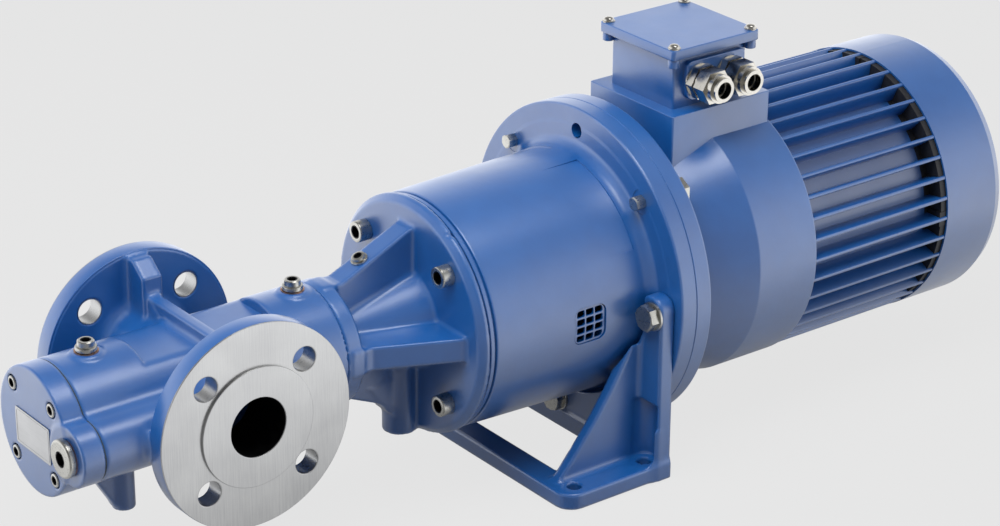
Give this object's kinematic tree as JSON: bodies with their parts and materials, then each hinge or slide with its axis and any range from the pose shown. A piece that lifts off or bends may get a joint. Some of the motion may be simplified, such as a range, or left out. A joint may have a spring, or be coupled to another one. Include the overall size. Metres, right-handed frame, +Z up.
{
  "type": "screw pump",
  "caption": "Three-spindle screw pump with side pipe flanges, coupled through a bell housing on a foot bracket to a flange-mounted motor.",
  "frame": {"origin": "centre of the foot bolt pattern on the underside of the foot bracket", "axes": "+X along the shaft from the pump to the motor, +Z up, +Y to the left when looking along +X"},
  "size_m": [0.8225, 0.25, 0.3058],
  "materials": {
    "bearing_steel": "ground bearing steel",
    "fan_plastic": "moulded plastic",
    "lamination": "stacked sheet",
    "motor_paint": "satin blue paint over cast aluminium",
    "name_plate": "brushed, bare",
    "nickel": "nickel plate",
    "paper": "sealing paper",
    "pump_paint": "satin blue paint over cast iron",
    "seal_carbon": "carbon",
    "seal_copper": "copper sealing ring",
    "sheet_paint": "satin blue paint over sheet steel",
    "spider": "polyurethane",
    "steel": "machined steel",
    "winding": "varnished copper",
    "zinc": "bright zinc plate"
  },
  "bodies": {
    "frame": {"pump_casing": "pump_paint", "spindle_liner": "steel", "end_cover": "pump_paint", "end_cover_gasket": "paper", "end_cover_screws": "zinc", "name_plate": "name_plate", "relief_plug_seal": "seal_copper", "relief_valve_plug": "zinc", "relief_spring_adjuster": "steel", "relief_valve_spring": "steel", "shaft_seal_seat": "seal_carbon", "pump_bearing_outer_ring": "bearing_steel", "bearing_cover": "pump_paint", "bearing_cover_screws": "zinc", "vent_plugs": "zinc", "vent_plug_seals": "seal_copper", "rib_plug": "zinc", "mounting_screws": "zinc", "bell_housing": "pump_paint", "bell_grilles": "sheet_paint", "foot_bracket": "pump_paint", "foot_bracket_bolts": "zinc", "motor_flange_bolts": "zinc", "motor_flange_nuts": "zinc", "motor_end_shield": "motor_paint", "motor_housing": "motor_paint", "stator_core": "lamination", "stator_windings": "winding", "stator_rear_windings": "winding", "motor_bearing_outer_rings": "bearing_steel", "rear_end_shield": "motor_paint", "fan_cowl": "sheet_paint", "cowl_screws": "zinc", "terminal_box": "motor_paint", "terminal_box_lid": "motor_paint", "terminal_box_gasket": "paper", "lid_screws": "zinc", "cable_gland_bodies": "nickel", "cable_gland_nuts": "nickel"},
    "rotor": {"motor_shaft": "steel", "main_spindle": "steel", "shaft_seal_ring": "seal_carbon", "shaft_sleeve": "steel", "pump_bearing_inner_ring": "bearing_steel", "pump_coupling_hub": "steel", "coupling_spider": "spider", "motor_coupling_hub": "steel", "shaft_keys": "steel", "rotor_core": "lamination", "motor_bearing_inner_rings": "bearing_steel", "cooling_fan": "fan_plastic"},
    "upper_idler": {"idler_spindle_upper": "steel"},
    "lower_idler": {"idler_spindle_lower": "steel"},
    "pump_balls": {"pump_bearing_balls": "bearing_steel"},
    "motor_balls": {"motor_bearing_balls": "bearing_steel"},
    "relief_piston": {"relief_valve_piston": "steel"}
  },
  "joints": [
    {"name": "rotor_spin", "type": "hinge", "parent": "frame", "child": "rotor", "pos_m": [-0.2905, 0, 0.132], "axis": [1, 0, 0], "continuous": true},
    {"name": "upper_idler_spin", "type": "hinge", "parent": "frame", "child": "upper_idler", "pos_m": [-0.2905, 0, 0.15], "axis": [1, 0, 0], "continuous": true},
    {"name": "lower_idler_spin", "type": "hinge", "parent": "frame", "child": "lower_idler", "pos_m": [-0.2905, 0, 0.114], "axis": [1, 0, 0], "continuous": true},
    {"name": "pump_ball_spin", "type": "hinge", "parent": "frame", "child": "pump_balls", "pos_m": [-0.1105, 0, 0.132], "axis": [1, 0, 0], "continuous": true},
    {"name": "motor_ball_spin", "type": "hinge", "parent": "frame", "child": "motor_balls", "pos_m": [0.0895, 0, 0.132], "axis": [1, 0, 0], "continuous": true},
    {"name": "relief_piston_lift", "type": "slide", "parent": "frame", "child": "relief_piston", "axis": [-1, 0, 0], "range_m": [0, 0.008], "stiffness_N_per_m": 2000, "springref_m": -0.006, "deforming": ["relief_valve_spring"]}
  ],
  "couplings": [
    {"joint": "upper_idler_spin", "follows": "rotor_spin", "ratio": -1},
    {"joint": "lower_idler_spin", "follows": "rotor_spin", "ratio": -1},
    {"joint": "pump_ball_spin", "follows": "rotor_spin", "ratio": 0.3836},
    {"joint": "motor_ball_spin", "follows": "rotor_spin", "ratio": 0.3978}
  ]
}
